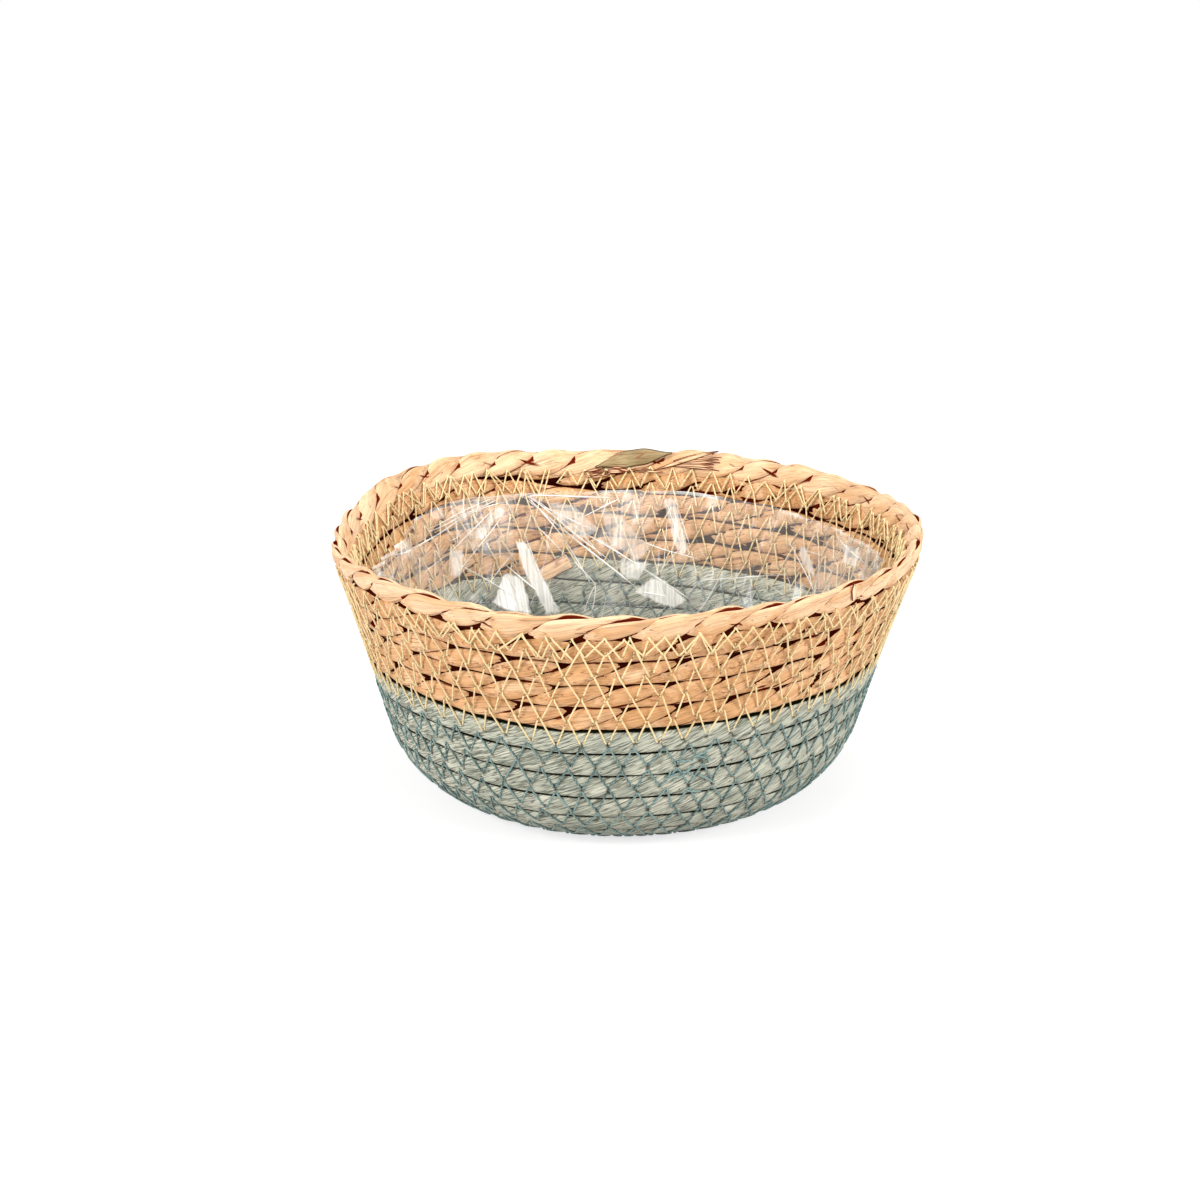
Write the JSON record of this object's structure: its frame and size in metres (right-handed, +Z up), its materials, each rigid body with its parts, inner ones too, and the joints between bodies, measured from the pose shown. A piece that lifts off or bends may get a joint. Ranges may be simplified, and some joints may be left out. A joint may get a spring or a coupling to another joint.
{
  "type": "coiled straw planter basket",
  "caption": "Round flared planter basket coiled from sage green fibre rope, with a natural straw upper wall, a plaited rim and a clear film liner.",
  "frame": {"origin": "middle of the circle the basket stands on, at the underside of the base coil", "axes": "+Z up through the open mouth; -Y is the side seen in the picture; the coil's climb and the ends of its stretches are at the back, at +Y"},
  "size_m": [0.2189, 0.219, 0.0982],
  "materials": {
    "rope": "matte",
    "straw": "matte",
    "rim_straw": "satin",
    "film": "gloss"
  },
  "bodies": {
    "root": {"base_coil": "rope", "heel_coil": "rope", "wall_coil": "rope", "straw_plait": "straw", "rim_strand_1": "rim_straw", "rim_strand_2": "rim_straw", "rim_strand_3": "rim_straw", "liner": "film"}
  },
  "joints": []
}
